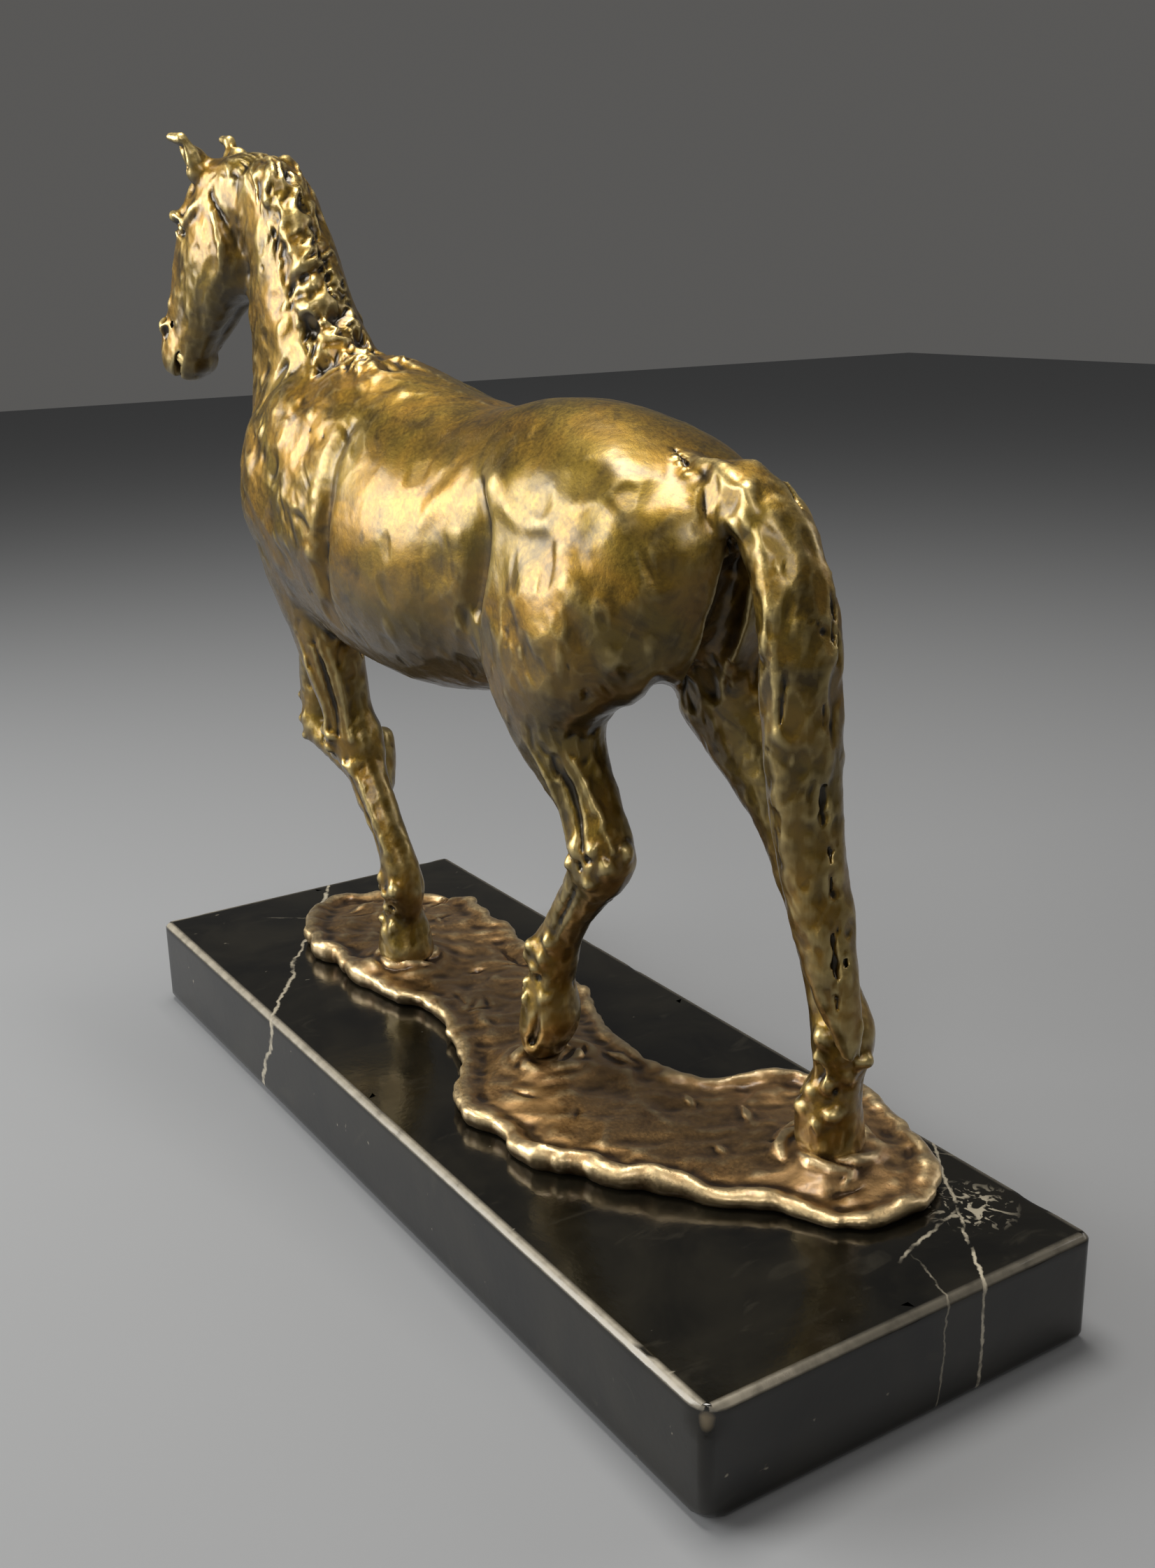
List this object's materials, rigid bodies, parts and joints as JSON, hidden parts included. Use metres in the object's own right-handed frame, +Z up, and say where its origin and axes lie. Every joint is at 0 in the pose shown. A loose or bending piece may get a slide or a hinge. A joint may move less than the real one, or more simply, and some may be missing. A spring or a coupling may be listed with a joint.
{
  "type": "horse statue",
  "caption": "Walking horse in patinated cast bronze on an irregular bronze ground, bolted to a rectangular black marble base.",
  "frame": {"origin": "centre of the baize pad's underside, where the statue rests", "axes": "+X along the base towards the horse's front, +Y to the horse's left, +Z up"},
  "size_m": [0.341, 0.118, 0.2985],
  "materials": {
    "bronze": "golden brown patina over chased cast bronze, waxed",
    "ground_bronze": "copper brown patina with worn bright rims",
    "marble": "polished black with fine white veins",
    "baize": "short green nap",
    "steel": "zinc plated"
  },
  "bodies": {
    "root": {"marble_base": "marble", "baize_pad": "baize", "ground_casting": "ground_bronze", "torso_casting": "bronze", "neck_casting": "bronze", "head_casting": "bronze", "left_fore_leg": "bronze", "right_fore_leg": "bronze", "left_hind_leg": "bronze", "right_hind_leg": "bronze", "tail_casting": "bronze", "left_fore_dowel": "steel", "left_hind_dowel": "steel", "right_hind_dowel": "steel", "front_stud": "steel", "rear_stud": "steel", "front_washer": "steel", "rear_washer": "steel", "front_nut": "steel", "rear_nut": "steel"}
  },
  "joints": []
}
